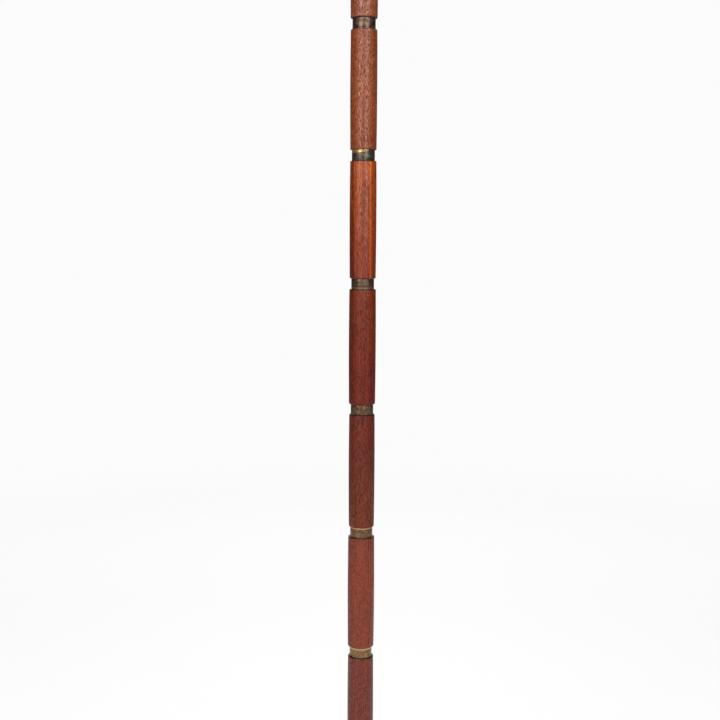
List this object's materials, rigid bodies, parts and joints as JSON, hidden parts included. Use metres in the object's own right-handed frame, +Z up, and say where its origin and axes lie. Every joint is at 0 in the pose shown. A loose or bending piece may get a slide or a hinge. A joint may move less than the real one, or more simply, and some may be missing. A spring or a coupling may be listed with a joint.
{
  "type": "flag pole stand",
  "caption": "Floor-standing flag pole of turned hardwood sections with tarnished brass collars, on a weighted round base.",
  "frame": {"origin": "centre of the base's underside, on the floor", "axes": "+Z up along the pole, +X towards the clamp screw's head"},
  "size_m": [0.3, 0.3, 1.8343],
  "materials": {
    "wood_light": "satin oiled, open pores",
    "wood_brown": "satin oiled, open pores",
    "wood_orange": "satin oiled",
    "wood_dark_red": "satin oiled",
    "wood_red": "satin oiled, a little dull",
    "brass_aged": "tarnished, brushed round",
    "brass_polished": "worn bright",
    "steel": "zinc plated",
    "ballast_iron": "as cast, painted",
    "felt": "pressed wool felt",
    "leather": "vegetable tanned"
  },
  "bodies": {
    "base": {"felt_pad": "felt", "base_disc": "wood_dark_red", "ballast_disc": "ballast_iron", "ballast_screws": "steel", "socket": "brass_polished", "flange_screws": "brass_polished"},
    "clamp_pad": {"clamp_pad": "brass_polished"},
    "clamp_screw": {"clamp_screw": "brass_polished"},
    "socket_pad": {"socket_pad": "leather"},
    "lower_pole": {"pole_ferrule": "brass_aged", "tie_washer": "steel", "tie_nut": "steel", "lower_tie_rod": "steel", "section_01": "wood_dark_red", "section_02": "wood_red", "section_03": "wood_red", "section_04": "wood_dark_red", "section_05": "wood_dark_red", "section_06": "wood_orange", "collar_01": "brass_aged", "collar_02": "brass_aged", "collar_03": "brass_aged", "collar_04": "brass_aged", "collar_05": "brass_aged", "joint_socket": "brass_aged"},
    "joint_washer": {"joint_washer": "brass_polished"},
    "upper_pole": {"joint_stud": "brass_polished", "upper_tie_rod": "steel", "section_07": "wood_brown", "section_08": "wood_light", "section_09": "wood_brown", "section_10": "wood_orange", "section_11": "wood_red", "section_12": "wood_brown", "collar_07": "brass_aged", "collar_08": "brass_aged", "collar_09": "brass_aged", "collar_10": "brass_aged", "collar_11": "brass_aged", "top_cap": "brass_aged"},
    "finial_washer": {"finial_washer": "brass_polished"},
    "finial": {"finial_neck": "brass_aged", "finial_ball": "wood_dark_red", "finial_nut": "brass_polished", "finial_stud": "steel"}
  },
  "joints": [
    {"name": "clamp_travel", "type": "slide", "parent": "base", "child": "clamp_pad", "axis": [1, 0, 0], "range_m": [0, 0.005]},
    {"name": "clamp_turn", "type": "hinge", "parent": "clamp_pad", "child": "clamp_screw", "pos_m": [0.0185, 0, 0.092], "axis": [1, 0, 0], "range_deg": [0, 1801]},
    {"name": "pole_turn", "type": "hinge", "parent": "base", "child": "socket_pad", "pos_m": [0, 0, 0.043], "axis": [0, 0, 1], "continuous": true},
    {"name": "pole_lift", "type": "slide", "parent": "socket_pad", "child": "lower_pole", "axis": [0, 0, 1], "range_m": [0, 0.09]},
    {"name": "joint_rise", "type": "slide", "parent": "lower_pole", "child": "joint_washer", "axis": [0, 0, 1], "range_m": [0, 0.01575]},
    {"name": "joint_turn", "type": "hinge", "parent": "joint_washer", "child": "upper_pole", "pos_m": [0, 0, 0.9524], "axis": [0, 0, 1], "range_deg": [0, 3241]},
    {"name": "finial_rise", "type": "slide", "parent": "upper_pole", "child": "finial_washer", "axis": [0, 0, 1], "range_m": [0, 0.01]},
    {"name": "finial_turn", "type": "hinge", "parent": "finial_washer", "child": "finial", "pos_m": [0, 0, 1.767], "axis": [0, 0, 1], "range_deg": [0, 2881]}
  ],
  "couplings": [
    {"joint": "clamp_turn", "follows": "clamp_travel", "rad_per_m": 6283.2},
    {"joint": "joint_turn", "follows": "joint_rise", "rad_per_m": 3590.4},
    {"joint": "finial_turn", "follows": "finial_rise", "rad_per_m": 5026.5}
  ]
}
